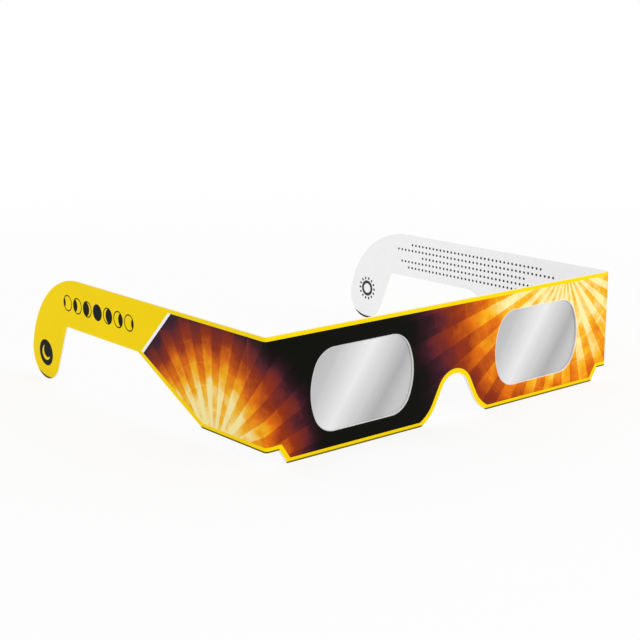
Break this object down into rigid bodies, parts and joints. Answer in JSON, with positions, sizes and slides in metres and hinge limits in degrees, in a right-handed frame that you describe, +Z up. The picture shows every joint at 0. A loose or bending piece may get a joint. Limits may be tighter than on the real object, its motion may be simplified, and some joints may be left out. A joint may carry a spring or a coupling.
{
  "type": "eclipse glasses",
  "caption": "Folding paperboard solar viewers: silvered film windows held between board layers, a nose notch, and flat temples with ear hooks on scored folds.",
  "frame": {"origin": "on the ground, in the middle of the length and of the width", "axes": "+Z up; the printed front faces -Y and the temples run back along +Y; the wearer's right is on the -X side"},
  "size_m": [0.145, 0.13, 0.0368],
  "materials": {
    "printed_board": "gloss",
    "temple_board": "gloss",
    "plain_board": "satin",
    "filter_film": "polished",
    "glue": "matte"
  },
  "bodies": {
    "front": {"front_panel": "printed_board", "back_flap": "plain_board", "glue_layer": "glue", "right_filter": "filter_film", "left_filter": "filter_film", "right_bottom_fold": "printed_board", "left_bottom_fold": "printed_board", "right_main_crease": "printed_board", "left_main_crease": "printed_board"},
    "right_root": {"right_temple_root": "temple_board", "right_second_crease": "temple_board"},
    "right_arm": {"right_temple": "temple_board"},
    "left_root": {"left_temple_root": "temple_board", "left_second_crease": "temple_board"},
    "left_arm": {"left_temple": "temple_board"}
  },
  "joints": [
    {"name": "right_main_fold", "type": "hinge", "parent": "front", "child": "right_root", "pos_m": [-0.0715, -0.064, 0.0206], "axis": [0, 0, -1], "range_deg": [-90, 90], "deforming": ["right_main_crease"]},
    {"name": "right_second_fold", "type": "hinge", "parent": "right_root", "child": "right_arm", "pos_m": [-0.07228, -0.0572, 0.0206], "axis": [0, 0, -1], "range_deg": [-90, 0], "deforming": ["right_second_crease"]},
    {"name": "left_main_fold", "type": "hinge", "parent": "front", "child": "left_root", "pos_m": [0.0715, -0.064, 0.0206], "axis": [0, 0, 1], "range_deg": [-90, 86], "deforming": ["left_main_crease"]},
    {"name": "left_second_fold", "type": "hinge", "parent": "left_root", "child": "left_arm", "pos_m": [0.07228, -0.0572, 0.0206], "axis": [0, 0, 1], "range_deg": [-90, 0], "deforming": ["left_second_crease"]}
  ]
}
